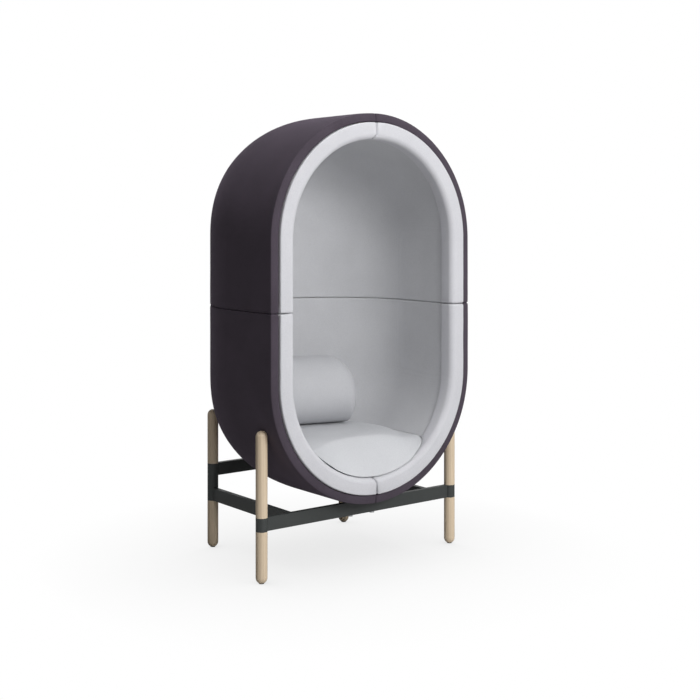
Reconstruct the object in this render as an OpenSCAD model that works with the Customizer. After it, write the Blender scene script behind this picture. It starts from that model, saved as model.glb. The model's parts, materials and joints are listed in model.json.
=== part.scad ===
// Pod chair: an upholstered pod for one person on four round wooden legs.
// Origin at the middle of the footprint, on the floor. +Z is up and the opening faces -Y.

/* [Pod] */
// Width of the pod
pod_w = 1000; // [900:10:1100]
// Height of the pod, without its legs
pod_h = 1540; // [1440:10:1640]
// Depth from the lip's front plane to the back of the pod
pod_depth = 790; // [740:10:860]
// Radius of the bend where the back turns into the top or the bottom, measured on the outside
bend_r = 420; // [380:10:450]
// Height of the pod's lowest point above the floor
pod_clear = 250; // [240:5:300]
// Thickness of the wall at the sides, top and bottom
wall_side = 100; // [90:1:102]
// Thickness of the wall at the back
wall_back = 88; // [80:1:100]
// Radius of the cavity's bend where the back turns into the ceiling or the seat
cavity_bend_r = 330; // [300:10:360]

/* [Upholstery] */
// Thickness of the outer cover with its foam
cover_t = 14; // [10:1:20]
// Thickness of the padded lining
lining_t = 20; // [14:1:26]
// Width of the dark lip round the opening
lip_w = 36; // [34:1:42]
// Rounding of the lip's outer edge
lip_round = 12; // [8:1:26]
// Rounding of the lip's inner edge
lip_inner_round = 6; // [3:1:8]
// Gap between lip and rim
groove = 1.2; // [0.6:0.2:2]
// Width of the rim, from the groove to its inner edge
rim_w = 66; // [64:1:72]
// Depth of the rim and of the lip behind the front plane
rim_depth = 64; // [56:1:74]
// How far the rim stands out in front of the lip
rim_proud = 8; // [4:1:12]
// Rounding of the rim's inner edge
rim_round = 32; // [20:1:34]
// Rounding of the rim's outer edge
rim_edge_round = 6; // [3:1:10]
// Rounding of the rim's back inner edge
rim_back_round = 12; // [8:1:16]
// Gap between the upper and the lower half at the split
split_gap = 1; // [0.6:0.2:2]
// Gap where the left and right rim quarters meet
rim_joint_gap = 0.6; // [0.4:0.1:1]

/* [Structure] */
// Thickness of the plywood hoops and split plates
ply_t = 18; // [15:1:21]
// Number of bolts round the split
split_bolt_count = 6; // [4:1:8]
// Diameter of all bolts in the pod
bolt_d = 8; // [6:1:10]
// Gap left between neighbouring layers of the wall
layer_gap = 0.3; // [0.2:0.1:0.5]

/* [Seat] */
// Height of the seat cushion's edge above the floor
seat_edge_z = 478; // [460:1:490]
// Rise of the seat cushion's middle above its edge
seat_crown = 22; // [10:1:30]
// Distance of the seat cushion's lower front edge behind the front plane
seat_front = 4; // [0:1:16]
// Depth of the seat cushion's sloping front
seat_front_run = 136; // [100:2:160]
// Gap round the seat cushion
seat_gap = 0.5; // [0.3:0.1:0.8]
// Diameter of the bolster
bolster_d = 290; // [260:5:300]
// Length of the bolster
bolster_len = 460; // [420:5:460]
// Depth of the bolster's domed ends
bolster_dome = 72; // [50:1:80]
// Turn of the bolster about the vertical, right end forward
bolster_turn = 13; // [8:1:16]
// Distance of the bolster's middle from the back of the pod
bolster_from_back = 302; // [302:1:320]
// Offset of the bolster's middle to the left
bolster_left = 11; // [0:1:20]

/* [Base] */
// Diameter of the legs, collars and pegs
leg_d = 45; // [40:1:50]
// Height of the pegs' domed tops above the floor
leg_top = 575; // [540:5:600]
// Distance of the front legs' axes in from the sides of the pod
front_legs_in = 23; // [10:1:35]
// Distance of the rear legs' axes in from the sides of the pod
rear_legs_in = 155; // [150:1:170]
// Distance of the front legs' axes behind the front plane
front_legs_back = 98; // [80:1:120]
// Distance of the rear legs' axes from the back of the pod
rear_legs_from_back = 130; // [100:1:150]
// Height of the steel bars' section
bar_h = 52; // [40:1:60]
// Thickness of the steel bars' section
bar_w = 20; // [16:1:30]
// Wall of the steel bars' tube
bar_wall = 2.5; // [2:0.5:4]
// Least thickness of the rear saddle under the pod
rear_saddle_t = 7; // [4:0.5:20]
// Diameter of the studs that join leg, collar and peg
stud_d = 12; // [8:1:14]
// Length of stud held in each leg and each peg
stud_hold = 50; // [30:1:60]
// Diameter of the foot glides
glide_d = 20; // [14:1:22]
// Height of the foot glides below the wood
glide_stand = 3; // [2:0.5:4]
// Depth of the foot glides' recess in the wood
glide_seat = 4; // [2:0.5:6]
// Least thickness of the front saddle under the pod
saddle_t = 2; // [2:0.5:4]
// Width of the saddles
saddle_w = 170; // [120:5:200]
// Distance between a saddle's two bolts
frame_bolt_gap = 110; // [80:5:120]

/* [Hidden] */

// Smoothness of large curves and of small rounds
$fn = 144;
SMALL_FN = 48;
// Smoothness of the pod's round where thin packing follows it
FINE_FN = 720;
// Steps in the arcs of the lip's and the rim's sections
ARC_STEPS = 7;
// Extra length that lets a cut run past the face it opens
OVERRUN = 5;
// Clearance of a bolt, stud or glide in its hole, on the radius
hole_gap = 0.15;
// Gap between pieces that are fitted to a round neighbour
fit_gap = 0.3;

DARK = "#302b31";
PALE = "#d6d6dc";
GREY = "#b2b3b7";
LIGHT_GREY = "#b9bbbf";
WOOD = "#c0b096";
STEEL = "#3a3d3d";
PLY = "#b99f78";
CORE = "#8d8d86";
ZINC = "#a9adb0";
NYLON = "#2b2b2b";

// The front plane is the lip's. The rim stands a little in front, and the two share the depth's middle.
front_y = -(pod_depth - rim_proud) / 2;
pod_mid_z = pod_clear + pod_h / 2;
pod_r = pod_w / 2;
cavity_w = pod_w - 2 * wall_side;
cavity_h = pod_h - 2 * wall_side;
cavity_r = cavity_w / 2;
cavity_depth = pod_depth - wall_back;
rim_outer_r = pod_r - lip_w - groove;
rim_inner_r = rim_outer_r - rim_w;
// Half the length of the straight stretch between the round top and the round bottom
straight = pod_h / 2 - pod_r;
arc_low_z = pod_mid_z - straight;
// The wall's layers, as distances in from the pod's outside or out from the cavity
core_inset = cover_t + layer_gap;
core_outset = lining_t + layer_gap;
hoop_front = rim_depth + layer_gap;
hoop_back = hoop_front + ply_t;
core_front = hoop_back + layer_gap;

// Bolts round the split stand in the middle of the wall
bolt_path_r = pod_r - wall_side / 2;
bolt_mid_y = front_y + pod_depth - pod_r;
bolt_first_angle = 15;
bolt_angle_step = (180 - 2 * bolt_first_angle) / (split_bolt_count - 1);
bolt_angles = [for (i = [0 : split_bolt_count - 1]) bolt_first_angle + i * bolt_angle_step];
// Sizes of the bolts' flat heads and of the T-nuts follow the bolt
bolt_head_d = 2.6 * bolt_d;
bolt_head_t = 0.6 * bolt_d;
nut_flange_d = 2.6 * bolt_d;
nut_flange_t = 0.2 * bolt_d;
nut_barrel_d = 1.4 * bolt_d;
nut_barrel_h = 1.5 * bolt_d;

leg_r = leg_d / 2;
glide_top = glide_stand + glide_seat;
front_leg_y = front_y + front_legs_back;
rear_leg_y = front_y + pod_depth - rear_legs_from_back;
front_legs_w = pod_w - 2 * front_legs_in;
rear_legs_w = pod_w - 2 * rear_legs_in;
bar_top = pod_clear - saddle_t;
bar_low = bar_top - bar_h;
// The rear bar follows the underside of the back where it bends up
rear_bend_run = bend_r - rear_legs_from_back - bar_w / 2;
rear_under = pod_clear + bend_r - sqrt(bend_r * bend_r - rear_bend_run * rear_bend_run);
rear_bar_top = rear_under - rear_saddle_t;
rear_bar_low = rear_bar_top - bar_h;
// Each leg: side, axis, y, where its collar starts and ends
LEGS = [
    [-front_legs_w / 2, front_leg_y, bar_low, bar_top],
    [front_legs_w / 2, front_leg_y, bar_low, bar_top],
    [-rear_legs_w / 2, rear_leg_y, bar_low, rear_bar_top],
    [rear_legs_w / 2, rear_leg_y, bar_low, rear_bar_top]
];

// Points of an arc, for sections
function arc(x, y, r, from, to) =
    [
        for (i = [0 : ARC_STEPS])
            let (a = from + (to - from) * i / ARC_STEPS)
                [x + r * cos(a), y + r * sin(a)]
    ];

// Upper half of a pod-shaped solid about z = 0: a half-round channel that stands up the back, bends forward
// at the top and runs straight to its front end. w, h and depth are its outside sizes, bend is the radius
// of its bend and start is how far behind the front plane it begins.
module half_form(w, h, depth, bend, start) {
    r = w / 2;
    run = h / 2 - r;
    mid = front_y + depth - r;
    off = r - bend;
    // Straight stretch from the front to where the back turns round
    translate([-r, front_y + start, 0])
        cube([w, mid - front_y - start, run]);
    translate([0, mid, run])
        rotate([90, 0, 0])
            linear_extrude(mid - front_y - start)
                upper_disc(r, 0);
    // Back, standing
    linear_extrude(run)
        translate([0, mid])
            upper_disc(r, 0);
    // The square between the two bends, where both half rounds hold
    intersection() {
        translate([0, mid + off, run])
            rotate([90, 0, 0])
                linear_extrude(off)
                    upper_disc(r, 0);
        translate([0, mid, run])
            linear_extrude(off)
                upper_disc(r, 0);
    }
    translate([0, mid + off, run])
        rotate([90, 0, 0])
            linear_extrude(off)
                upper_disc(r, off);
    translate([0, mid, run])
        linear_extrude(off)
            upper_disc(r, off);
    // The bend turns about a line along X
    translate([0, mid + off, run + off])
        rotate([90, 0, 90])
            rotate_extrude(angle = 90)
                intersection() {
                    translate([-off, 0])
                        circle(r);
                    translate([0, -r])
                        square([r, 2 * r]);
                }
}

// The part of a disc that lies above the line y = low
module upper_disc(r, low) {
    intersection() {
        circle(r);
        translate([-r, low])
            square([2 * r, r]);
    }
}

// Sweeps a section along one quarter of the opening: right side, upper half. The section's x is the distance
// from the arc's centre and its y the depth behind the front plane.
module quarter_sweep(low) {
    translate([0, front_y, 0]) {
        translate([0, 0, low])
            linear_extrude(straight - low)
                children();
        translate([0, 0, straight])
            rotate([90, 0, 0])
                rotate_extrude(angle = 90)
                    mirror([0, 1])
                        children();
    }
}

module both_sides() {
    children();
    mirror([1, 0, 0])
        children();
}

// Puts an upper half in its place, or turns it into the lower one
module place_half(upper) {
    translate([0, 0, pod_mid_z])
        mirror([0, 0, upper ? 0 : 1])
            children();
}

// Everything below the level z is cut away from a half
module below(z) {
    translate([-pod_w, front_y - pod_depth, -OVERRUN])
        cube([2 * pod_w, 3 * pod_depth, OVERRUN + z]);
}

module lip_section() {
    inner = pod_r - lip_w;
    polygon(concat(
        [[inner, rim_depth]],
        arc(inner + lip_inner_round, lip_inner_round, lip_inner_round, 180, 270),
        arc(pod_r - lip_round, lip_round, lip_round, 270, 360),
        [[pod_r, rim_depth]]
    ));
}

module rim_section() {
    polygon(concat(
        arc(rim_inner_r + rim_back_round, rim_depth - rim_back_round, rim_back_round, 90, 180),
        arc(rim_inner_r + rim_round, rim_round - rim_proud, rim_round, 180, 270),
        arc(rim_outer_r - rim_edge_round, rim_edge_round - rim_proud, rim_edge_round, 270, 360),
        [[rim_outer_r, rim_depth]]
    ));
}

module half_cover() {
    difference() {
        half_form(pod_w, pod_h, pod_depth, bend_r, rim_depth);
        half_form(pod_w - 2 * cover_t, pod_h - 2 * cover_t, pod_depth - cover_t, bend_r - cover_t,
            rim_depth - OVERRUN);
        below(split_gap / 2);
    }
    both_sides()
        quarter_sweep(split_gap / 2)
            lip_section();
}

// The space between cover and lining, from a start behind the front plane
module half_wall(start) {
    difference() {
        half_form(pod_w - 2 * core_inset, pod_h - 2 * core_inset, pod_depth - core_inset,
            bend_r - core_inset, start);
        half_form(cavity_w + 2 * core_outset, cavity_h + 2 * core_outset, cavity_depth + core_outset,
            cavity_bend_r + core_outset, start - OVERRUN);
    }
}

module half_core() {
    difference() {
        half_wall(core_front);
        below(ply_t + layer_gap);
        split_bolt_pockets();
    }
}

module half_lining() {
    difference() {
        half_form(cavity_w + 2 * lining_t, cavity_h + 2 * lining_t, cavity_depth + lining_t,
            cavity_bend_r + lining_t, hoop_front);
        half_form(cavity_w, cavity_h, cavity_depth, cavity_bend_r, hoop_front - OVERRUN);
        below(split_gap / 2);
    }
}

module half_hoop() {
    outer = pod_r - core_inset;
    inner = cavity_r + core_outset;
    both_sides()
        quarter_sweep(0)
            translate([inner, hoop_front])
                square([outer - inner, ply_t]);
}

module half_split_plate(hole_d) {
    difference() {
        linear_extrude(ply_t)
            difference() {
                plan_outline(pod_r - core_inset, pod_depth - core_inset, core_front);
                plan_outline(cavity_r + core_outset, cavity_depth + core_outset, core_front - OVERRUN);
            }
        at_split_bolts()
            translate([0, 0, -OVERRUN])
                cylinder(d = hole_d + 2 * hole_gap, h = ply_t + 2 * OVERRUN, $fn = SMALL_FN);
    }
}

// Level section of a pod-shaped solid: straight sides and a half-round back
module plan_outline(r, depth, start) {
    mid = front_y + depth - r;
    translate([-r, front_y + start])
        square([2 * r, mid - front_y - start]);
    translate([0, mid])
        upper_disc(r, 0);
}

module at_split_bolts() {
    for (a = bolt_angles)
        translate([bolt_path_r * cos(a), bolt_mid_y + bolt_path_r * sin(a), 0])
            children();
}

// Room in the cores for the bolts' heads and the T-nuts' flanges
module split_bolt_pockets() {
    at_split_bolts()
        cylinder(d = nut_flange_d + 2 * nut_flange_t, h = ply_t + nut_barrel_h, $fn = SMALL_FN);
}

module split_bolts() {
    color(ZINC)
        translate([0, 0, pod_mid_z])
            at_split_bolts() {
                translate([0, 0, -ply_t - bolt_head_t])
                    cylinder(d = bolt_head_d, h = bolt_head_t, $fn = SMALL_FN);
                translate([0, 0, -ply_t])
                    cylinder(d = bolt_d, h = 2 * ply_t, $fn = SMALL_FN);
            }
}

module t_nut() {
    difference() {
        union() {
            cylinder(d = nut_flange_d, h = nut_flange_t, $fn = SMALL_FN);
            translate([0, 0, -nut_barrel_h])
                cylinder(d = nut_barrel_d, h = nut_barrel_h, $fn = SMALL_FN);
        }
        translate([0, 0, -nut_barrel_h - OVERRUN])
            cylinder(d = bolt_d + 2 * hole_gap, h = nut_barrel_h + nut_flange_t + 2 * OVERRUN,
                $fn = SMALL_FN);
    }
}

module split_t_nuts() {
    color(ZINC)
        translate([0, 0, pod_mid_z + ply_t])
            at_split_bolts()
                t_nut();
}

// One quarter of the rim: right side, upper half
module quarter_rim() {
    difference() {
        quarter_sweep(split_gap / 2)
            rim_section();
        translate([-rim_joint_gap / 2, front_y - rim_proud - OVERRUN, 0])
            cube([rim_joint_gap, rim_proud + rim_depth + 2 * OVERRUN, pod_h]);
    }
}

// Places in the seat, as shares of the cavity's radius: its middle behind the rim, from which its outline
// is found, the crown's highest place and how far the crown spreads
SEAT_MID_SHARE = 0.66;
SEAT_PEAK_SHARE = 0.86;
SEAT_SPREAD_SHARE = 0.78;
seat_mid = rim_depth + cavity_r * SEAT_MID_SHARE;
seat_peak = cavity_r * SEAT_PEAK_SHARE;
seat_spread = cavity_r * SEAT_SPREAD_SHARE;
// Flatness of the crown, bulge of the sloping front, and how much shorter the slope is at the sides
CROWN_POWER = 6;
FRONT_POWER = 1.1;
FRONT_SIDE_SHARE = 0.8;
// Widening of the bowl behind the rim, per millimetre of depth
BOWL_FLARE = 0.05;
// Points in each ring of the cushion, and halvings in the search for its outline
FULL_TURN = 360;
SEAT_ANGLES = 72;
SEAT_HALVINGS = 20;
// Rings of the cushion's top and of its underside, as shares of its outline
TOP_SHARES = [0.985, 0.95, 0.9, 0.84, 0.77, 0.69, 0.6, 0.5, 0.38, 0.2];
UNDER_SHARES = [0.3, 0.6, 0.8, 0.92, 0.98];

// In the seat's functions y is measured behind the front plane and z above the floor.
// Radius of the bowl at a depth: it widens slowly behind the rim, so that the cushion's facets clear it
function bowl_radius(y) = min(cavity_r, rim_inner_r + max(y - rim_depth, 0) * BOWL_FLARE);

// Height of the bowl's bottom, less the cushion's gap
function bowl_bottom(x, y) = let (
        reach = sqrt(max(pow(bowl_radius(y) - seat_gap, 2) - x * x, 0)),
        off = cavity_r - cavity_bend_r,
        back = max(y - (cavity_depth - cavity_r) - off, 0),
        bend = max(reach - off, 0)
    )
    arc_low_z - off - sqrt(max(bend * bend - back * back, 0));

// Height of the crowned top
function crown_top(x, y) = let (spread = norm([x, y - seat_peak]) / seat_spread)
    seat_edge_z + seat_crown * (1 - pow(min(spread, 1), CROWN_POWER));

// Height of the cushion's upper face: a front that slopes up from the rim, and the crown behind it
function seat_over(x, y) = let (
        run = seat_front_run * (1 - FRONT_SIDE_SHARE * pow(x / rim_inner_r, 2)),
        left = 1 - (y - seat_front) / run,
        foot = bowl_bottom(x, seat_front),
        crest = crown_top(x, seat_front + run)
    )
    left <= 0 ? crown_top(x, y)
    : foot + (crest - foot) * pow(1 - pow(min(left, 1), FRONT_POWER), 1 / FRONT_POWER);

function in_seat(x, y) = y > seat_front && seat_over(x, y) > bowl_bottom(x, y);

// Distance from the middle to the outline along an angle
function seat_ray(a, near, far, n) = let (d = (near + far) / 2)
    n == 0 ? near
    : in_seat(d * cos(a), seat_mid + d * sin(a)) ? seat_ray(a, d, far, n - 1)
    : seat_ray(a, near, d, n - 1);

seat_outline = [
    for (i = [0 : SEAT_ANGLES - 1])
        seat_ray(FULL_TURN * i / SEAT_ANGLES, 0, pod_depth, SEAT_HALVINGS)
];

// A ring at a share of the outline, on the top or on the underside
function seat_ring(share, over) = [
    for (i = [0 : SEAT_ANGLES - 1])
        let (
            a = FULL_TURN * i / SEAT_ANGLES,
            x = share * seat_outline[i] * cos(a),
            y = seat_mid + share * seat_outline[i] * sin(a)
        )
        [x, front_y + y, over ? seat_over(x, y) : bowl_bottom(x, y)]
];

module seat_cushion() {
    rings = concat(
        [for (share = UNDER_SHARES) seat_ring(share, false)],
        [seat_ring(1, true)],
        [for (share = TOP_SHARES) seat_ring(share, true)]
    );
    n = SEAT_ANGLES;
    last = len(rings) - 1;
    under = (last + 1) * n;
    ends = [
        [0, front_y + seat_mid, bowl_bottom(0, seat_mid)],
        [0, front_y + seat_mid, seat_over(0, seat_mid)]
    ];
    color(LIGHT_GREY)
        polyhedron(
            concat([for (ring = rings) for (p = ring) p], ends),
            concat(
                [for (k = [0 : last - 1]) for (i = [0 : n - 1])
                    [k * n + i, (k + 1) * n + i, k * n + (i + 1) % n]],
                [for (k = [0 : last - 1]) for (i = [0 : n - 1])
                    [k * n + (i + 1) % n, (k + 1) * n + i, (k + 1) * n + (i + 1) % n]],
                [for (i = [0 : n - 1]) [under, i, (i + 1) % n]],
                [for (i = [0 : n - 1]) [under + 1, last * n + (i + 1) % n, last * n + i]]
            )
        );
}

// Steps in the arc of each of the bolster's ends
BOLSTER_STEPS = 10;
bolster_r = bolster_d / 2;
bolster_half = bolster_len / 2;
bolster_z = seat_edge_z + seat_crown + fit_gap + bolster_r;

// Half of the bolster's section: a straight side and domed ends that are parts of an ellipse
function bolster_dome_points(side) = [
    for (i = [0 : BOLSTER_STEPS])
        let (a = side > 0 ? 90 * i / BOLSTER_STEPS : 90 - 90 * i / BOLSTER_STEPS)
        [bolster_r * cos(a), side * (bolster_half - bolster_dome + bolster_dome * sin(a))]
];

module bolster() {
    color(LIGHT_GREY)
        translate([-bolster_left, front_y + pod_depth - bolster_from_back, bolster_z])
            rotate([0, 90, -bolster_turn])
                rotate_extrude()
                    polygon(concat(bolster_dome_points(-1), bolster_dome_points(1)));
}

// Rectangular tube from the origin along X
module bar_tube(length) {
    translate([0, -bar_w / 2, 0])
        difference() {
            cube([length, bar_w, bar_h]);
            translate([-OVERRUN, bar_wall, bar_wall])
                cube([length + 2 * OVERRUN, bar_w - 2 * bar_wall, bar_h - 2 * bar_wall]);
        }
}

// A bar across the chair between two legs, cut to the collars' round, with its saddle bolts' holes
module cross_bar(legs_w, y, low) {
    color(STEEL)
        difference() {
            translate([-legs_w / 2, y, low])
                bar_tube(legs_w);
            for (side = [-1, 1])
                translate([side * legs_w / 2, y, low - OVERRUN])
                    cylinder(r = leg_r + fit_gap, h = bar_h + 2 * OVERRUN, $fn = 2 * SMALL_FN);
            at_frame_bolts(y)
                translate([0, 0, low - OVERRUN])
                    cylinder(d = bolt_d + 2 * hole_gap, h = bar_h + 2 * OVERRUN, $fn = SMALL_FN);
        }
}

module side_bar(side) {
    from = front_leg_y + bar_w / 2;
    color(STEEL)
        difference() {
            translate([side * rear_legs_w / 2, from, bar_low])
                rotate([0, 0, 90])
                    bar_tube(rear_leg_y - from);
            translate([side * rear_legs_w / 2, rear_leg_y, bar_low - OVERRUN])
                cylinder(r = leg_r + fit_gap, h = bar_h + 2 * OVERRUN, $fn = 2 * SMALL_FN);
        }
}

module collar(leg) {
    color(STEEL)
        translate([leg[0], leg[1], leg[2]])
            difference() {
                cylinder(r = leg_r, h = leg[3] - leg[2], $fn = 2 * SMALL_FN);
                translate([0, 0, -OVERRUN])
                    cylinder(d = stud_d + 2 * hole_gap, h = leg[3] - leg[2] + 2 * OVERRUN, $fn = SMALL_FN);
            }
}

// Half of a round-ended rod's section: tip at y = 0, cut off at flat, length from the tip's sphere
module rod_section(length, flat) {
    intersection() {
        union() {
            translate([0, leg_r])
                circle(leg_r, $fn = 2 * SMALL_FN);
            translate([0, leg_r])
                square([leg_r, length - leg_r]);
        }
        translate([0, flat])
            square([leg_r, length - flat]);
    }
}

module lower_leg(leg) {
    color(WOOD)
        translate([leg[0], leg[1], 0])
            difference() {
                rotate_extrude($fn = 2 * SMALL_FN)
                    rod_section(leg[2], glide_stand);
                translate([0, 0, -OVERRUN])
                    cylinder(d = glide_d + 2 * hole_gap, h = glide_top + OVERRUN, $fn = SMALL_FN);
                translate([0, 0, leg[2] - stud_hold - hole_gap])
                    cylinder(d = stud_d + 2 * hole_gap, h = stud_hold + OVERRUN, $fn = SMALL_FN);
            }
}

// The peg stands on its collar beside the pod, and is hollowed where the pod leans on it
module peg(leg) {
    color(WOOD)
        difference() {
            translate([leg[0], leg[1], leg_top])
                mirror([0, 0, 1])
                    rotate_extrude($fn = 2 * SMALL_FN)
                        rod_section(leg_top - leg[3], 0);
            translate([leg[0], leg[1], leg[3] - OVERRUN])
                cylinder(d = stud_d + 2 * hole_gap, h = stud_hold + hole_gap + OVERRUN, $fn = SMALL_FN);
            place_half(false)
                half_form(
                    pod_w + 2 * fit_gap, pod_h + 2 * fit_gap, pod_depth + fit_gap, bend_r + fit_gap, 0
                );
        }
}

module leg_studs() {
    color(ZINC)
        for (leg = LEGS)
            translate([leg[0], leg[1], leg[2] - stud_hold])
                cylinder(d = stud_d, h = leg[3] - leg[2] + 2 * stud_hold, $fn = SMALL_FN);
}

module foot_glides() {
    color(NYLON)
        for (leg = LEGS)
            translate([leg[0], leg[1], 0])
                cylinder(d = glide_d, h = glide_top, $fn = SMALL_FN);
}

module at_frame_bolts(y) {
    for (side = [-1, 1])
        translate([side * frame_bolt_gap / 2, y, 0])
            children();
}

// Packing between a bar and the pod's round underside
module saddle(y, top) {
    color(NYLON)
        difference() {
            translate([-saddle_w / 2, y - bar_w / 2, top])
                cube([saddle_w, bar_w, bar_h]);
            place_half(false)
                half_form(pod_w + 2 * fit_gap, pod_h + 2 * fit_gap, pod_depth + fit_gap, bend_r + fit_gap, 0,
                    $fn = FINE_FN);
            at_frame_bolts(y)
                cylinder(d = bolt_d + 2 * hole_gap, h = pod_mid_z, $fn = SMALL_FN);
        }
}

// The frame bolts end in T-nuts inside the wall, at these shares of its thickness above the bars
FRONT_NUT_SHARE = 0.5;
REAR_NUT_SHARE = 0.75;
front_nut_z = bar_top + wall_side * FRONT_NUT_SHARE;
rear_nut_z = rear_bar_top + wall_side * REAR_NUT_SHARE;
FRAME_BOLTS = [[front_leg_y, bar_low, front_nut_z], [rear_leg_y, rear_bar_low, rear_nut_z]];

module frame_bolts() {
    color(ZINC)
        for (b = FRAME_BOLTS)
            at_frame_bolts(b[0]) {
                translate([0, 0, b[1] - bolt_head_t])
                    cylinder(d = bolt_head_d, h = bolt_head_t, $fn = SMALL_FN);
                translate([0, 0, b[1]])
                    cylinder(d = bolt_d, h = b[2] - b[1], $fn = SMALL_FN);
            }
}

module frame_t_nuts() {
    color(ZINC)
        for (b = FRAME_BOLTS)
            at_frame_bolts(b[0])
                translate([0, 0, b[2] - nut_flange_t])
                    t_nut();
}

// Holes in the lower half for the frame bolts and their T-nuts
module frame_bolt_holes() {
    for (b = FRAME_BOLTS)
        at_frame_bolts(b[0]) {
            translate([0, 0, b[1]])
                cylinder(d = bolt_d + 2 * hole_gap, h = b[2] - b[1], $fn = SMALL_FN);
            translate([0, 0, b[2] - nut_flange_t - nut_barrel_h])
                cylinder(d = nut_barrel_d + 2 * hole_gap, h = nut_barrel_h, $fn = SMALL_FN);
            translate([0, 0, b[2] - nut_flange_t])
                cylinder(d = nut_flange_d + 2 * hole_gap, h = 2 * nut_flange_t, $fn = SMALL_FN);
        }
}

module cover(upper) {
    color(DARK)
        difference() {
            place_half(upper)
                half_cover();
            if (!upper)
                frame_bolt_holes();
        }
}

module core(upper) {
    color(CORE)
        difference() {
            place_half(upper)
                half_core();
            if (!upper)
                frame_bolt_holes();
        }
}

module lining(upper) {
    color(GREY)
        place_half(upper)
            half_lining();
}

module front_hoop(upper) {
    color(PLY)
        place_half(upper)
            half_hoop();
}

// The upper plate holds the T-nuts' barrels, the lower one only the bolts
module split_plate(upper) {
    color(PLY)
        place_half(upper)
            half_split_plate(upper ? nut_barrel_d : bolt_d);
}

module rim(right, upper) {
    color(PALE)
        place_half(upper)
            mirror([right ? 0 : 1, 0, 0])
                quarter_rim();
}

cover(true);  // upper_cover
cover(false);  // lower_cover
core(true);  // upper_core
core(false);  // lower_core
lining(true);  // upper_lining
lining(false);  // lower_lining
front_hoop(true);  // upper_front_hoop
front_hoop(false);  // lower_front_hoop
split_plate(true);  // upper_split_plate
split_plate(false);  // lower_split_plate
split_bolts();
split_t_nuts();
rim(false, true);  // upper_left_rim
rim(true, true);  // upper_right_rim
rim(false, false);  // lower_left_rim
rim(true, false);  // lower_right_rim
seat_cushion();
bolster();
cross_bar(front_legs_w, front_leg_y, bar_low);  // front_bar
cross_bar(rear_legs_w, rear_leg_y, rear_bar_low);  // rear_bar
side_bar(-1);  // left_side_bar
side_bar(1);  // right_side_bar
collar(LEGS[0]);  // front_left_collar
collar(LEGS[1]);  // front_right_collar
collar(LEGS[2]);  // rear_left_collar
collar(LEGS[3]);  // rear_right_collar
lower_leg(LEGS[0]);  // front_left_leg
lower_leg(LEGS[1]);  // front_right_leg
lower_leg(LEGS[2]);  // rear_left_leg
lower_leg(LEGS[3]);  // rear_right_leg
peg(LEGS[0]);  // front_left_peg
peg(LEGS[1]);  // front_right_peg
peg(LEGS[2]);  // rear_left_peg
peg(LEGS[3]);  // rear_right_peg
leg_studs();
foot_glides();
saddle(front_leg_y, bar_top);  // front_saddle
saddle(rear_leg_y, rear_bar_top);  // rear_saddle
frame_bolts();
frame_t_nuts();
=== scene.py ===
"""Pod chair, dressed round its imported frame. Metres, +Z up, the opening faces -Y."""

import json
import math

import bmesh
import bpy
import numpy as np
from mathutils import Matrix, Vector, noise


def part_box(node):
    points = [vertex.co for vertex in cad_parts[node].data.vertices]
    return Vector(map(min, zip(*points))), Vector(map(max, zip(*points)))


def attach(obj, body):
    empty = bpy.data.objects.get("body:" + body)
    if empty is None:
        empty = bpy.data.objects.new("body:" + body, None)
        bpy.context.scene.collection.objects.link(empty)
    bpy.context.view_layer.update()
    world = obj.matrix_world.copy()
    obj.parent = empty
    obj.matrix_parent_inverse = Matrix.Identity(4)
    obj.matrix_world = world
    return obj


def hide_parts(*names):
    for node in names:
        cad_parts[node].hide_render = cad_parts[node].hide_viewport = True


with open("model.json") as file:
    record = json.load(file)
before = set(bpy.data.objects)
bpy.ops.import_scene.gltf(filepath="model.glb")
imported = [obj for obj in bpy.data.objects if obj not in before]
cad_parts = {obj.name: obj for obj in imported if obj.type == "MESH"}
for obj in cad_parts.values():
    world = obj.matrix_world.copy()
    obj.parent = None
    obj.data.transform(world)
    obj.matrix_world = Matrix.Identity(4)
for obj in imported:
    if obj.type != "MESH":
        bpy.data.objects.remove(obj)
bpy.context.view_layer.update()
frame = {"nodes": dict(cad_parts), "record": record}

MM = 0.001
QUARTER = math.pi / 2
# Keeps the length of a zero vector from dividing by nothing
TINY = 1e-12
WHITE = (1.0, 1.0, 1.0, 1.0)

# Sizes read from the frame
cover_low, cover_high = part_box("upper_cover")
lower_cover_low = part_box("lower_cover")[0]
lining_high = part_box("upper_lining")[1]
rim_low, rim_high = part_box("upper_right_rim")
bolster_low, bolster_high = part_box("bolster")
# The opening's plane, the radius of the pod's round ends and the height of the split
FRONT = cover_low.y
POD_R = cover_high.x
MID_Z = (cover_high.z + lower_cover_low.z) / 2
# Length of the straight side from the split to a round end
RUN = (cover_high.z - lower_cover_low.z) / 2 - POD_R
# BACK_MID and CAVITY_MID: where the back starts to turn, on the cover and in the cavity
BACK_MID = cover_high.y - POD_R
LINING_T = 20 * MM
CAVITY_R = lining_high.x - LINING_T
CAVITY_MID = lining_high.y - LINING_T - CAVITY_R
RIM_OUT = rim_high.x
RIM_DEPTH = rim_high.y - FRONT
RIM_PROUD = FRONT - rim_low.y

# Sizes of the upholstery
LIP_W = 36 * MM
LIP_ROUND = 5 * MM
# The lip's face bows back towards its outer edge
LIP_BOW = 60 * MM
LIP_LEAN = 20
# The outside leans in towards the lip over the last stretch
SIDE_BOW = 503 * MM
SIDE_LEAN = 4
LIP_INNER_ROUND = 6 * MM
LIP_STEPS = 6
RIM_W = 68 * MM
RIM_ROUND = 24 * MM
RIM_EDGE_ROUND = 6 * MM
RIM_BACK_ROUND = 12 * MM
RIM_CORNER = 2 * MM
SPLIT_GAP = 1 * MM
RIM_SPLIT_GAP = 2 * MM
RIM_JOINT_GAP = 1.8 * MM
LINING_TUCK = 10 * MM
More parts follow.
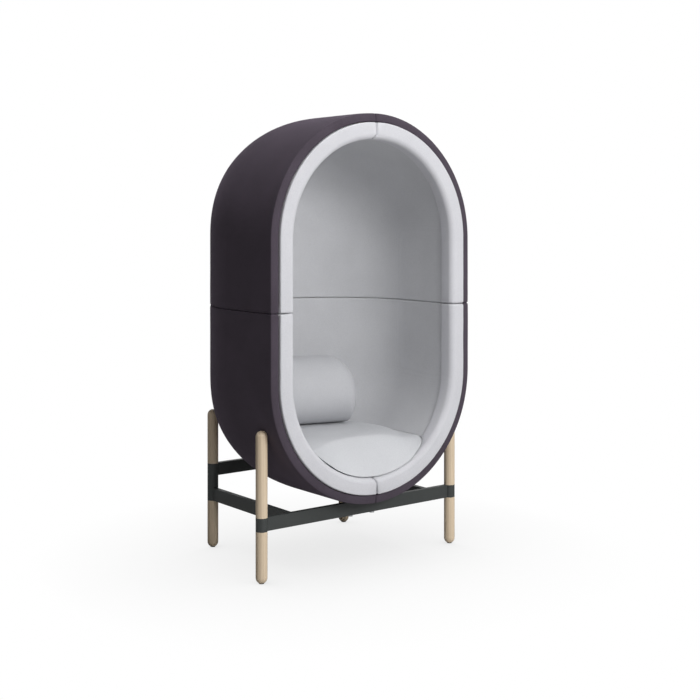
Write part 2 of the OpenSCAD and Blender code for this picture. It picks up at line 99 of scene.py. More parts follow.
# The lining's front edge: millimetres outside the cavity and behind the edge's start
LINING_EDGE = [(2.0, 0.0), (0.5, 0.6), (0.0, 2.5)]
SHEET_T = 3 * MM
# Powers that give the rounded corner of the pod and of its cavity, seen from the side
POD_POWER = 2.45
CAVITY_POWER = 2.51
# Columns that fold the fabric in at the split: height over the gap and depth of the fold
FOLD = [(0.0, 14.0), (0.2, 6.5), (1.0, 3.2), (2.6, 1.3), (5.5, 0.4), (10.0, 0.0)]
# Columns beside a seam: distance from it and depth of its valley
SEAM = [(0.0, 6.0), (0.8, 4.2), (1.8, 2.2), (3.4, 0.8), (6.5, 0.0)]
COLUMN_STEP = 13 * MM
ROW_STEP = 16 * MM
# How much of folds, valleys and hollows is left in the last rows, at the middle of the back
BACK_FADE = (0.7, 0.35, 0.0)
# Soft hollows of the padding: size of their spots, depth, and what is added to the piece's seed
COVER_HOLLOWS = [(160 * MM, 1.4 * MM, 0.0), (45 * MM, 1.4 / 3 * MM, 5.0)]
LINING_HOLLOWS = [(160 * MM, 1.6 * MM, 0.0), (45 * MM, 1.6 / 3 * MM, 5.0)]
RIM_HOLLOWS = [(90 * MM, 0.9 * MM, 0.0), (30 * MM, 0.35 * MM, 4.0)]
SEAT_HOLLOWS = [(130 * MM, 2.2 * MM, 0.0), (45 * MM, 0.7 * MM, 6.0)]
BOLSTER_HOLLOWS = [(130 * MM, 3.0 * MM, 0.0), (40 * MM, 0.8 * MM, 6.0)]

# The photograph's camera
CAMERA_AT = (-3.098, -4.2065, 1.387)
CAMERA_TURN = -37.864
CAMERA_LENS = 64.2
CAMERA_SHIFT = -0.1929


def smooth(low, high, x):
    """0 below low, 1 above high and a smooth rise between."""
    t = np.clip((x - low) / (high - low), 0.0, 1.0)
    return t * t * (3 - 2 * t)


# Camera

def add_camera():
    data = bpy.data.cameras.new("camera")
    data.lens = CAMERA_LENS
    data.sensor_width = 36.0
    data.shift_y = CAMERA_SHIFT
    data.clip_end = 200.0
    camera = bpy.data.objects.new("camera", data)
    camera.location = CAMERA_AT
    camera.rotation_euler = (QUARTER, 0, math.radians(CAMERA_TURN))
    bpy.context.scene.collection.objects.link(camera)
    bpy.context.scene.camera = camera


# Materials

# Sockets of a Mix node that mixes colours
MIX_FACTOR = 0
MIX_FIRST = 6
MIX_SECOND = 7
MIX_RESULT = 2


def set_inputs(tree, node, inputs):
    """Links the sockets that are given another node's socket, and sets the others."""
    for key, value in inputs.items():
        if isinstance(value, bpy.types.NodeSocket):
            tree.links.new(value, node.inputs[key])
        else:
            node.inputs[key].default_value = value


def add_node(tree, kind, inputs=None, **settings):
    made = tree.nodes.new(kind)
    for key, value in settings.items():
        setattr(made, key, value)
    set_inputs(tree, made, inputs or {})
    return made


def new_material(name):
    """A material, its node tree, its shader and the place on the object that its textures read."""
    material = bpy.data.materials.new(name)
    material.use_nodes = True
    tree = material.node_tree
    place = add_node(tree, "ShaderNodeTexCoord").outputs["Object"]
    return material, tree, tree.nodes["Principled BSDF"], place


def mix_colours(tree, factor, first, second):
    """Mix of two colours, each of which is a socket or three plain numbers."""
    first, second = (
        colour if isinstance(colour, bpy.types.NodeSocket) else (*colour, 1.0) for colour in (first, second))
    made = add_node(tree, "ShaderNodeMix", {
        MIX_FACTOR: factor, MIX_FIRST: first, MIX_SECOND: second}, data_type="RGBA")
    return made.outputs[MIX_RESULT]


def remap(tree, value, from_low, from_high, to_low=0.0, to_high=1.0):
    made = add_node(tree, "ShaderNodeMapRange", {
        "Value": value, "From Min": from_low, "From Max": from_high, "To Min": to_low, "To Max": to_high})
    return made.outputs["Result"]


def add_bump(tree, height, strength, distance):
    made = add_node(tree, "ShaderNodeBump", {"Strength": strength, "Distance": distance, "Height": height})
    return made.outputs["Normal"]


def darker(colour, share):
    return tuple(share * c for c in colour)


def fabric(name, colour, shade, fleck, sheen, sheen_tint):
    """Woven wool: a fine cross weave, soft tufts over it and a slow drift of tone."""
    material, tree, shader, place = new_material(name)
    tufts = add_node(tree, "ShaderNodeTexNoise", {"Vector": place, "Scale": 420.0, "Detail": 3.0})
    threads = add_node(tree, "ShaderNodeTexVoronoi", {"Vector": place, "Scale": 560.0, "Randomness": 0.7})
    drift = add_node(tree, "ShaderNodeTexNoise", {"Vector": place, "Scale": 5.0, "Detail": 2.0})
    valleys = remap(tree, threads.outputs["Distance"], 0.25, 0.75)
    tone = mix_colours(tree, remap(tree, drift.outputs["Fac"], 0.35, 0.65), colour, shade)
    tone = mix_colours(tree, remap(tree, tufts.outputs["Fac"], 0.45, 0.75, 0.0, 0.5), tone, fleck)
    tone = mix_colours(tree, remap(tree, valleys, 0.0, 1.0, 0.0, 0.35), tone, darker(shade, 0.62))
    relief = add_node(tree, "ShaderNodeMath", {0: tufts.outputs["Fac"], 1: valleys}, operation="SUBTRACT")
    set_inputs(tree, shader, {
        "Base Color": tone,
        "Roughness": remap(tree, tufts.outputs["Fac"], 0.3, 0.7, 0.82, 0.97),
        "Specular IOR Level": 0.25,
        "Sheen Weight": sheen,
        "Sheen Roughness": 0.45,
        "Sheen Tint": (*sheen_tint, 1.0),
        "Normal": add_bump(tree, relief.outputs[0], 0.45, 0.5 * MM)})
    return material


def wood(name, pale, dark):
    """Ash along the Z axis: drawn-out pores, soft growth bands and a satin lacquer."""
    material, tree, shader, place = new_material(name)
    drawn = add_node(tree, "ShaderNodeMapping", {"Vector": place, "Scale": (1.0, 1.0, 0.045)})
    bands = add_node(tree, "ShaderNodeTexWave", {
        "Vector": drawn.outputs["Vector"], "Scale": 38.0, "Distortion": 5.0, "Detail": 3.0,
        "Detail Scale": 1.5}, wave_type="BANDS", bands_direction="X")
    pores = add_node(tree, "ShaderNodeTexNoise", {
        "Vector": drawn.outputs["Vector"], "Scale": 900.0, "Detail": 4.0, "Roughness": 0.6}).outputs["Fac"]
    drift = add_node(tree, "ShaderNodeTexNoise", {"Vector": place, "Scale": 7.0, "Detail": 1.0})
    tone = mix_colours(tree, remap(tree, bands.outputs["Fac"], 0.15, 0.95, 0.0, 0.55), pale, dark)
    tone = mix_colours(
        tree, remap(tree, drift.outputs["Fac"], 0.3, 0.7, 0.0, 0.5), tone, darker(pale, 0.93))
    tone = mix_colours(tree, remap(tree, pores, 0.58, 0.75, 0.0, 0.6), tone, darker(dark, 0.7))
    set_inputs(tree, shader, {
        "Base Color": tone,
        "Roughness": remap(tree, pores, 0.3, 0.8, 0.42, 0.6),
        "Coat Weight": 0.15,
        "Coat Roughness": 0.35,
        "Normal": add_bump(tree, pores, 0.25, 0.2 * MM)})
    return material


def grained(name, colour, fleck, scale, rough, metallic=0.0, relief=0.2):
    """A plain surface with a fine grain: powder coat, plating, moulded nylon or foam."""
    material, tree, shader, place = new_material(name)
    grain = add_node(tree, "ShaderNodeTexNoise", {"Vector": place, "Scale": scale, "Detail": 3.0})
    broad = add_node(tree, "ShaderNodeTexNoise", {"Vector": place, "Scale": 9.0, "Detail": 2.0})
    tone = mix_colours(tree, remap(tree, grain.outputs["Fac"], 0.4, 0.7, 0.0, 0.6), colour, fleck)
    set_inputs(tree, shader, {
        "Base Color": tone,
        "Roughness": remap(tree, broad.outputs["Fac"], 0.3, 0.7, rough - 0.05, rough + 0.07),
        "Metallic": metallic,
        "Normal": add_bump(tree, grain.outputs["Fac"], relief, 0.2 * MM)})
    return material


def layered(name, pale, dark, scale):
    """Birch plywood: thin layers across Z and a fine grain."""
    material, tree, shader, place = new_material(name)
    layers = add_node(tree, "ShaderNodeTexWave", {
        "Vector": place, "Scale": scale, "Distortion": 0.3}, wave_type="BANDS", bands_direction="Z")
    grain = add_node(tree, "ShaderNodeTexNoise", {"Vector": place, "Scale": 300.0, "Detail": 3.0})
    tone = mix_colours(tree, remap(tree, layers.outputs["Fac"], 0.3, 0.7), pale, dark)
    tone = mix_colours(
        tree, remap(tree, grain.outputs["Fac"], 0.5, 0.8, 0.0, 0.5), tone, darker(dark, 0.8))
    set_inputs(tree, shader, {"Base Color": tone, "Roughness": 0.7})
    return material


PLAIN_SHEEN = (1.0, 1.0, 1.0)
DARK = fabric("aubergine_wool", colour=(0.075, 0.060, 0.079), shade=(0.059, 0.047, 0.062),
              fleck=(0.117, 0.094, 0.123), sheen=0.12, sheen_tint=(0.62, 0.48, 0.68))
PALE = fabric("pale_wool", colour=(0.70, 0.70, 0.735), shade=(0.66, 0.66, 0.695),
              fleck=(0.80, 0.80, 0.83), sheen=0.15, sheen_tint=PLAIN_SHEEN)
GREY = fabric("grey_wool", colour=(0.65, 0.655, 0.675), shade=(0.61, 0.615, 0.635),
              fleck=(0.73, 0.73, 0.75), sheen=0.1, sheen_tint=PLAIN_SHEEN)
LIGHT = fabric("light_grey_wool", colour=(0.68, 0.69, 0.715), shade=(0.64, 0.65, 0.675),
               fleck=(0.77, 0.78, 0.795), sheen=0.12, sheen_tint=PLAIN_SHEEN)
# Painted shade: the cushion's wool made about a tenth darker for the bolster, which stands in for the shade
# it sits in
SHADED_PILLOW = fabric("shaded_pillow_wool", colour=(0.61, 0.615, 0.64), shade=(0.575, 0.58, 0.605),
                fleck=(0.69, 0.695, 0.715), sheen=0.12, sheen_tint=PLAIN_SHEEN)
ASH = wood("pale_ash", pale=(0.80, 0.65, 0.47), dark=(0.65, 0.50, 0.34))
STEEL = grained("anthracite_steel", colour=(0.031, 0.035, 0.034), fleck=(0.044, 0.049, 0.048),
                scale=700.0, rough=0.5)
PLY = layered("birch_plywood", pale=(0.55, 0.42, 0.26), dark=(0.40, 0.28, 0.15), scale=90.0)
FOAM = grained("structural_foam", colour=(0.27, 0.27, 0.24), fleck=(0.35, 0.35, 0.31),
               scale=260.0, rough=0.85, relief=0.6)
ZINC = grained("zinc_plate", colour=(0.50, 0.52, 0.53), fleck=(0.62, 0.64, 0.66),
               scale=500.0, rough=0.32, metallic=1.0)
NYLON = grained("black_nylon", colour=(0.025, 0.025, 0.026), fleck=(0.04, 0.04, 0.042),
                scale=500.0, rough=0.5)


# Mesh helpers

# Points nearer to each other than this become one
WELD = 0.02 * MM


def smooth_faces(mesh):
    for face in mesh.polygons:
        face.use_smooth = True


def make_object(name, vertices, faces, material, closed=True):
    """A smooth mesh object. The faces of a closed form are all turned outward."""
    mesh = bpy.data.meshes.new(name)
    mesh.from_pydata([tuple(v) for v in vertices], [], faces)
    made = bpy.data.objects.new(name, mesh)
    bpy.context.scene.collection.objects.link(made)
    work = bmesh.new()
    work.from_mesh(mesh)
    bmesh.ops.remove_doubles(work, verts=work.verts, dist=WELD)
    if closed:
        bmesh.ops.recalc_face_normals(work, faces=work.faces)
    work.to_mesh(mesh)
    work.free()
    smooth_faces(mesh)
    mesh.materials.append(material)
    return made


def apply_modifiers(piece):
    """The piece's mesh becomes what its modifiers make of it."""
    shown = bpy.context.evaluated_depsgraph_get()
    shown.update()
    mesh = bpy.data.meshes.new_from_object(piece.evaluated_get(shown))
    piece.modifiers.clear()
    old = piece.data
    piece.data = mesh
    bpy.data.meshes.remove(old)


def thicken(piece, thickness):
    """A sheet gets its thickness behind the side that shows."""
    made = piece.modifiers.new("thickness", "SOLIDIFY")
    made.thickness = thickness
    made.offset = -1.0
    apply_modifiers(piece)
    smooth_faces(piece.data)


def grid_faces(rows, columns, flip=False, ring=False):
    """Faces of a grid, turned over where flip is set. Its rows close to rings where ring is set."""
    across = columns if ring else columns - 1
    faces = []
    for i in range(rows - 1):
        for j in range(across):
            k = (j + 1) % columns
            face = [i * columns + j, (i + 1) * columns + j, (i + 1) * columns + k, i * columns + k]
            faces.append(face[::-1] if flip else face)
    return faces


def grid_normals(points):
    """Normals of a grid of points, along its rows' and columns' cross product."""
    normals = np.cross(np.gradient(points, axis=0), np.gradient(points, axis=1))
    length = np.linalg.norm(normals, axis=2, keepdims=True)
    return normals / np.maximum(length, TINY)


def unevenness(points, size, depth, seed):
    """Soft hollows between 0 and depth, over spots of that size."""
    shift = Vector((seed, 2.0 * seed, 3.0 * seed))
    values = [0.5 + 0.5 * noise.noise(Vector(p) / size + shift) for p in points.reshape(-1, 3)]
    return depth * np.array(values).reshape(points.shape[:2])


def hollows(points, spots, seed):
    """Depth of a piece's hollows, for one of the lists of hollows above."""
    return sum(unevenness(points, size, depth, seed + further) for size, depth, further in spots)


# Fabric that follows the pod's form

def half_columns():
    """Columns round half of the opening, from the right split over the middle to the left split.

    Each is (height on the straight stretch, angle on the arc, depth of the fold or valley).
    """
    right = [(SPLIT_GAP / 2 + MM * up, 0.0, MM * fold) for up, fold in FOLD]
    start = right[-1][0]
    steps = round((RUN - start) / COLUMN_STEP)
    right += [(start + (RUN - start) * i / steps, 0.0, 0.0) for i in range(1, steps + 1)]
    last = QUARTER - MM * SEAM[-1][0] / POD_R
    steps = round(last * POD_R / COLUMN_STEP)
    right += [(RUN, last * i / steps, 0.0) for i in range(1, steps)]
    right += [(RUN, QUARTER - MM * away / POD_R, MM * valley) for away, valley in reversed(SEAM)]
    left = [(height, math.pi - angle, depth) for height, angle, depth in reversed(right[:-1])]
    return right + left


def ring_place(radius, back, power, height, angle):
    """x and height over the split, on a ring that lies that far back behind the bend's start."""
    reach = max(radius**power - back**power, 0.0) ** (1 / power)
    up = reach * math.sin(angle)
    beyond = (back**power + up**power) ** (2 / power)
    x = math.copysign(math.sqrt(max(radius * radius - beyond, 0.0)), math.cos(angle))
    return x, height + up


def form_grid(rows, power, columns):
    """Grid of points for rows of (radius, y, distance behind the bend's start)."""
    grid = np.zeros((len(rows), len(columns), 3))
    for i, (radius, y, back) in enumerate(rows):
        for j, (height, angle, _) in enumerate(columns):
            x, up = ring_place(radius, back, power, height, angle)
            grid[i, j] = (x, y, up)
    return grid


def back_rows(radius, mid):
    """Rows from where the back starts to turn to its middle."""
    steps = round(radius * QUARTER / ROW_STEP)
    turns = [QUARTER * i / steps for i in range(1, steps + 1)]
    return [(radius, mid + radius * math.sin(a), radius * math.sin(a)) for a in turns]


def straight_rows(radius, start, end):
    steps = round((end - start) / ROW_STEP)
    return [(radius, start + (end - start) * i / steps, 0.0) for i in range(1, steps + 1)]


def arc_rows(radius, y, turn, start, end, steps):
    """Rows round a small rounding of the section, whose centre is at (radius, y)."""
    angles = [math.radians(start + (end - start) * i / steps) for i in range(steps + 1)]
    return [(radius + turn * math.cos(a), y + turn * math.sin(a), 0.0) for a in angles]


def cover_rows():
    """From behind the lip's inner edge over the lip and along the outside to the middle of the back."""
    inner = POD_R - LIP_W
    turn = LIP_INNER_ROUND
    face, side = math.radians(LIP_LEAN), math.radians(SIDE_LEAN)
    edge = POD_R - SIDE_BOW + (SIDE_BOW - LIP_ROUND) * math.cos(side)
    edge_y = FRONT + LIP_BOW - (LIP_BOW - LIP_ROUND) * math.cos(face)
    middle = edge - (LIP_BOW - LIP_ROUND) * math.sin(face)
    straight_y = edge_y + (SIDE_BOW - LIP_ROUND) * math.sin(side)
    rows = [(inner, FRONT + RIM_DEPTH, 0.0), (inner, FRONT + RIM_DEPTH / 2, 0.0)]
    rows += arc_rows(inner + turn, FRONT + turn, turn, 180, 270, LIP_STEPS)
    rows += arc_rows(middle, FRONT + LIP_BOW, LIP_BOW, 270, 270 + LIP_LEAN, LIP_STEPS)
    rows += arc_rows(edge, edge_y, LIP_ROUND, 270 + LIP_LEAN, 360 - SIDE_LEAN, LIP_STEPS)[1:]
    rows += arc_rows(POD_R - SIDE_BOW, straight_y, SIDE_BOW, 360 - SIDE_LEAN, 360, LIP_STEPS)[1:]
    rows += straight_rows(POD_R, straight_y, BACK_MID)
    return rows + back_rows(POD_R, BACK_MID)


def lining_rows():
    """From behind the rim to the middle of the cavity's back."""
    start = FRONT + RIM_DEPTH - LINING_TUCK
    rows = [(CAVITY_R + 2 * SHEET_T, start, 0.0)]
    rows += [(CAVITY_R + MM * outside, start + MM * behind, 0.0) for outside, behind in LINING_EDGE]
    rows += straight_rows(CAVITY_R, rows[-1][1], CAVITY_MID)
    return rows + back_rows(CAVITY_R, CAVITY_MID)


def place_half(points, upper):
    """Puts a half that is made about the split into its place."""
    placed = points.copy()
    placed[..., 2] = MID_Z + (1 if upper else -1) * points[..., 2]
    return placed


def upholstered_half(name, rows, power, upper, inside, material, spots, seed):
    """One half of the cover or of the lining, folded in at the split. The cover has a middle seam."""
    columns = half_columns()
    if inside:
        columns = [(h, a, d if a in (0.0, math.pi) else 0.0) for h, a, d in columns]
    points = form_grid(rows, power, columns)
    shown_side = grid_normals(points) * (-1.0 if inside else 1.0)
    sunk = np.array([depth for _, _, depth in columns])[None, :] + hollows(points, spots, seed)
    fade = np.ones((len(rows), 1))
    fade[-len(BACK_FADE):, 0] = BACK_FADE
    points = points - shown_side * (sunk * fade)[..., None]
    faces = grid_faces(len(rows), len(columns), flip=inside == upper)
    return make_object(name, place_half(points, upper).reshape(-1, 3), faces, material, closed=False)


def add_cover_and_lining():
    for half, upper, cover_seed, lining_seed in (("upper", True, 3.0, 13.0), ("lower", False, 8.0, 21.0)):
        cover = upholstered_half(f"{half}_cover_fabric", cover_rows(), POD_POWER, upper, False,
                                 DARK, COVER_HOLLOWS, cover_seed)
        lining = upholstered_half(f"{half}_lining_fabric", lining_rows(), CAVITY_POWER, upper, True,
                                  GREY, LINING_HOLLOWS, lining_seed)
        for piece, node in ((cover, f"{half}_cover"), (lining, f"{half}_lining")):
            thicken(piece, SHEET_T)
            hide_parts(node)
            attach(piece, "chair")


# Padded rim

RIM_IN = RIM_OUT - RIM_W
RIM_COLUMN_STEP = 7 * MM
# The rounded ends of a quarter
RIM_END_ROUND = 8 * MM
RIM_END_STEPS = 6
# The fabric's pucker at the ends of a quarter, and the points from one of its ripples to the next
SEAM_PUCKER = 1.2 * MM
SEAM_PUCKER_REACH = 16 * MM
SPLIT_PUCKER = 0.8 * MM
SPLIT_PUCKER_REACH = 14 * MM
RIPPLE_POINTS = 5.0
# The seams at top and bottom bend to the left near the opening
SEAM_BEND = 11 * MM
SEAM_BEND_FROM = 26 * MM
SEAM_BEND_REACH = 45 * MM
FIRST_RIM_SEED = 7.0
RIM_SEED_STEP = 6.0


def rim_section():
    """Closed section: distance from the arc's centre and y, from the back round the opening's side."""
    corners = [
        (RIM_IN + RIM_BACK_ROUND, FRONT + RIM_DEPTH - RIM_BACK_ROUND, RIM_BACK_ROUND, 90, 180, 6),
        (RIM_IN + RIM_ROUND, FRONT + RIM_ROUND - RIM_PROUD, RIM_ROUND, 180, 270, 12),
        (RIM_OUT - RIM_EDGE_ROUND, FRONT + RIM_EDGE_ROUND - RIM_PROUD, RIM_EDGE_ROUND, 270, 360, 7),
        (RIM_OUT - RIM_CORNER, FRONT + RIM_DEPTH - RIM_CORNER, RIM_CORNER, 0, 90, 2)]
    return np.array([row[:2] for corner in corners for row in arc_rows(*corner)])


def section_normals(section):
    """Outward normals of a closed section that runs the way rim_section's does."""
    along = np.roll(section, -1, axis=0) - np.roll(section, 1, axis=0)
    normals = np.stack([along[:, 1], -along[:, 0]], axis=1)
    return normals / np.maximum(np.linalg.norm(normals, axis=1, keepdims=True), TINY)


def rim_columns():
    """Places along a quarter: (height, angle, distance from the split, distance from the middle seam)."""
    radius = (RIM_IN + RIM_OUT) / 2
    length = RUN + radius * QUARTER - RIM_SPLIT_GAP / 2 - RIM_JOINT_GAP / 2
    turns = [QUARTER * i / RIM_END_STEPS for i in range(RIM_END_STEPS + 1)]
    edge = [RIM_END_ROUND * (1 - math.cos(a)) for a in turns]
    inner = length - 2 * RIM_END_ROUND
    steps = round(inner / RIM_COLUMN_STEP)
    along = edge + [RIM_END_ROUND + inner * i / steps for i in range(1, steps)]
    along += [length - e for e in reversed(edge)]
    columns = []
    for s in along:
        from_split = RIM_SPLIT_GAP / 2 + s
        height = min(from_split, RUN)
        columns.append((height, max(from_split - RUN, 0.0) / radius, s, length - s))
    return columns


def end_inset(distance, turn):
    """How far a rounded end draws the section in, at a distance from the end."""
    if distance >= turn:
        return 0.0
    return turn - math.sqrt(max(turn**2 - (turn - distance) ** 2, 0.0))


def rim_points(right, seed):
    """Rings of points round a quarter's section, from the split to the middle seam."""
    section = rim_section()
    normals = section_normals(section)
    side = 1 if right else -1
    rings = []
    for height, angle, to_split, to_seam in rim_columns():
        inset = end_inset(to_split, RIM_END_ROUND) + end_inset(to_seam, RIM_END_ROUND)
        pucker = (SEAM_PUCKER * math.exp(-to_seam / SEAM_PUCKER_REACH)
                  + SPLIT_PUCKER * math.exp(-to_split / SPLIT_PUCKER_REACH))
        near = 1 - smooth(0.0, SEAM_BEND_REACH, to_seam)
        ring = []
        for i, (place, normal) in enumerate(zip(section, normals)):
            ripple = math.sin(2 * math.pi * i / RIPPLE_POINTS + seed) * pucker
            radius, y = place - normal * inset - normal * (pucker + ripple)
            inward = 1 - smooth(0.0, SEAM_BEND_FROM, radius - RIM_IN)
            x = side * radius * math.cos(angle) - SEAM_BEND * near * inward
            ring.append((x, y, height + radius * math.sin(angle)))
        rings.append(ring)
    return np.array(rings)


def rim_quarter(name, right, upper, seed):
    points = rim_points(right, seed)
    normals = grid_normals(points)
    facing = np.sign(np.sum(normals * (points - points.mean(axis=1, keepdims=True)), axis=2))
    points = points - normals * (facing * hollows(points, RIM_HOLLOWS, seed))[..., None]
    columns, count = points.shape[:2]
    vertices = list(place_half(points, upper).reshape(-1, 3))
    faces = grid_faces(columns, count, ring=True)
    for end in (0, columns - 1):
        hub = len(vertices)
        vertices.append(place_half(points[end].mean(axis=0), upper))
        faces += [[hub, end * count + i, end * count + (i + 1) % count] for i in range(count)]
    return make_object(name, vertices, faces, PALE)


def add_rims():
    seed = FIRST_RIM_SEED
    for half, upper in (("upper", True), ("lower", False)):
        for side, right in (("left", False), ("right", True)):
            piece = rim_quarter(f"{half}_{side}_rim_roll", right, upper, seed)
            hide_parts(f"{half}_{side}_rim")
            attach(piece, "chair")
            seed += RIM_SEED_STEP


# Seat cushion. In this part y is measured behind the front plane.

SEAT_EDGE_Z = 478 * MM
SEAT_CROWN = 22 * MM
SEAT_FRONT = -1.5 * MM
# The front's slope: how far it runs back, and how much of that is lost at the sides
SEAT_RUN = 136 * MM
SEAT_RUN_FALL = 0.8
# The open seam round the cushion: wide along the rim, thin along the lining
SEAT_GAPS = [(40 * MM, 5.0 * MM), (100 * MM, 0.8 * MM)]
# Middle of the cushion's rings of points
SEAT_MID = RIM_DEPTH + 0.66 * CAVITY_R
# Place of the crown's peak and how far the crown spreads
SEAT_PEAK = 0.86 * CAVITY_R
SEAT_SPREAD = 0.78 * CAVITY_R
CROWN_POWER = 6
FRONT_POWER = 1.1
# The bottom bends up at the back round a centre that lies this much further back and down
BEND_OFF = 70 * MM
ARC_Z = MID_Z - RUN
SEAT_ANGLES = 360
OUTLINE_HALVINGS = 30
TILT_STEP = 0.3 * MM
# Rings near the outline by their distance from it, then rings as shares of what is left
SEAT_RINGS = [0.0, 0.8, 1.8, 3.2, 6.0, 9.0, 13.0]
SEAT_INNER_RINGS = 34
SEAT_UNDER_SHARES = (0.25, 0.5, 0.75, 0.9, 0.98)
# The valley round the seat cushion, as SEAM
SEAT_SEAM = [(0.0, 9.5), (0.8, 7.2), (1.8, 4.4), (3.2, 2.2), (6.0, 0.7), (10.0, 0.0)]
SEAT_SEED = 31.0


def bowl_radius(y):
    """Radius of the bowl that holds the cushion: the rim's rounded inner side, then the lining."""
    into = np.maximum(RIM_ROUND - RIM_PROUD - y, 0.0)
    rim = RIM_IN + RIM_ROUND - np.sqrt(np.maximum(RIM_ROUND**2 - into**2, 0.0))
    return np.where(y > RIM_DEPTH, np.minimum(CAVITY_R, RIM_IN + y - RIM_DEPTH), rim)


def bowl_bottom(x, y):
    """Height of the cushion's underside, a seam's gap above rim and lining."""
    gap = np.interp(y, *zip(*SEAT_GAPS))
    reach = np.sqrt(np.maximum((bowl_radius(y) - gap) ** 2 - x**2, 0.0))
    back = np.maximum(y - (CAVITY_MID - FRONT) - BEND_OFF, 0.0)
    bend = np.maximum(reach - BEND_OFF, 0.0)
    return ARC_Z - BEND_OFF - np.sqrt(np.maximum(bend**2 - back**2, 0.0))


def crown_top(x, y):
    spread = np.hypot(x, y - SEAT_PEAK) / SEAT_SPREAD
    return SEAT_EDGE_Z + SEAT_CROWN * (1 - np.minimum(spread, 1.0) ** CROWN_POWER)


def seat_over(x, y):
    """Height of the cushion's upper face: the front that slopes up from the rim, then the crown."""
    run = SEAT_RUN * (1 - SEAT_RUN_FALL * (x / RIM_IN) ** 2)
    left = np.clip(1 - (y - SEAT_FRONT) / run, 0.0, 1.0)
    foot = bowl_bottom(x, SEAT_FRONT)
    crest = crown_top(x, SEAT_FRONT + run)
    slope = foot + (crest - foot) * (1 - left**FRONT_POWER) ** (1 / FRONT_POWER)
    return np.where(left <= 0, crown_top(x, y), slope)


def seat_normals(x, y):
    """Normals of the cushion's upper face, from its height a short step away."""
    tilt_x = (seat_over(x + TILT_STEP, y) - seat_over(x - TILT_STEP, y)) / (2 * TILT_STEP)
    tilt_y = (seat_over(x, y + TILT_STEP) - seat_over(x, np.maximum(y - TILT_STEP, SEAT_FRONT))) / (
        TILT_STEP + np.minimum(TILT_STEP, y - SEAT_FRONT))
    normals = np.stack([-tilt_x, -tilt_y, np.ones_like(x)], axis=2)
    return normals / np.linalg.norm(normals, axis=2, keepdims=True)


def seat_outline(angles):
    """Distance from the middle to the cushion's outline along each angle."""
    near = np.zeros(len(angles))
    far = np.full(len(angles), 2 * CAVITY_R)
    for _ in range(OUTLINE_HALVINGS):
        middle = (near + far) / 2
        x = middle * np.cos(angles)
        y = SEAT_MID + middle * np.sin(angles)
        inside = (y > SEAT_FRONT) & (seat_over(x, y) > bowl_bottom(x, y))
        near = np.where(inside, middle, near)
        far = np.where(inside, far, middle)
    return near


def seat_points():
    """Rings of points from the middle of the underside out to the outline and over the top."""
    angles = np.arange(SEAT_ANGLES) * 2 * math.pi / SEAT_ANGLES
    outline = seat_outline(angles)
    rings = [np.maximum(outline - d * MM, 0.0) for d in SEAT_RINGS]
    rings += [rings[-1] * (1 - i / SEAT_INNER_RINGS) for i in range(1, SEAT_INNER_RINGS)]
    reach = np.array(rings)
    x = reach * np.cos(angles)
    y = SEAT_MID + reach * np.sin(angles)
    over = np.stack([x, y, seat_over(x, y)], axis=2)
    valley = np.interp(outline - reach, [d * MM for d, _ in SEAT_SEAM], [v * MM for _, v in SEAT_SEAM])
    over -= seat_normals(x, y) * (valley + hollows(over, SEAT_HOLLOWS, SEAT_SEED))[..., None]
    over[..., 2] = np.maximum(over[..., 2], bowl_bottom(over[..., 0], over[..., 1]))
    under = []
    for share in SEAT_UNDER_SHARES:
        under_x, under_y = share * x[0], SEAT_MID + share * (y[0] - SEAT_MID)
        under.append(np.stack([under_x, under_y, bowl_bottom(under_x, under_y)], axis=1))
    return np.concatenate([np.array(under), over])


def add_seat():
    points = seat_points()
    low = (0.0, SEAT_MID, bowl_bottom(0.0, SEAT_MID))
    high = (0.0, SEAT_MID, points[-1, :, 2].mean())
    vertices = np.concatenate([points.reshape(-1, 3), [low, high]]) + np.array((0.0, FRONT, 0.0))
    faces = grid_faces(len(points), SEAT_ANGLES, ring=True)
    hub = len(points) * SEAT_ANGLES
    last = hub - SEAT_ANGLES
    faces += [[hub, i, (i + 1) % SEAT_ANGLES] for i in range(SEAT_ANGLES)]
    faces += [[hub + 1, last + (i + 1) % SEAT_ANGLES, last + i] for i in range(SEAT_ANGLES)]
    piece = make_object("seat_pad", vertices, faces, LIGHT)
    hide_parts("seat_cushion")
    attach(piece, "seat_cushion")


# Bolster

BOLSTER_R = (bolster_high.z - bolster_low.z) / 2
BOLSTER_HALF = 230 * MM
BOLSTER_DOME = 72 * MM
# The right end is cut back at its top and full at its bottom
RIGHT_DOME = 84 * MM
RIGHT_DOME_TILT = 44 * MM
BOLSTER_TURN = math.radians(13)
# How much of the underside is pressed flat
BOLSTER_FLAT = 3.5 * MM
BOLSTER_AROUND = 96
BOLSTER_ALONG = 24
BOLSTER_END = 14
BOLSTER_SEED = 51.0


def bolster_grid():
    """Points round the bolster's axis: along it, across it and up, from the left end to the right."""
    around = 2 * math.pi * np.arange(BOLSTER_AROUND) / BOLSTER_AROUND
    domes = {-1: np.full(BOLSTER_AROUND, BOLSTER_DOME), 1: RIGHT_DOME + RIGHT_DOME_TILT * np.sin(around)}
    turns = [QUARTER * i / BOLSTER_END for i in range(BOLSTER_END + 1)]
    ends = {}
    for side, dome in domes.items():
        ends[side] = [
            (side * (BOLSTER_HALF - dome * (1 - math.cos(a))), BOLSTER_R * math.sin(a)) for a in turns]
    start, end = ends[-1][-1][0], ends[1][-1][0]
    middle = [(start + (end - start) * i / BOLSTER_ALONG, BOLSTER_R) for i in range(1, BOLSTER_ALONG)]
    return np.array([
        np.stack([along, radius * np.cos(around), radius * np.sin(around)], axis=1)
        for along, radius in ends[-1] + middle + ends[1][::-1]])


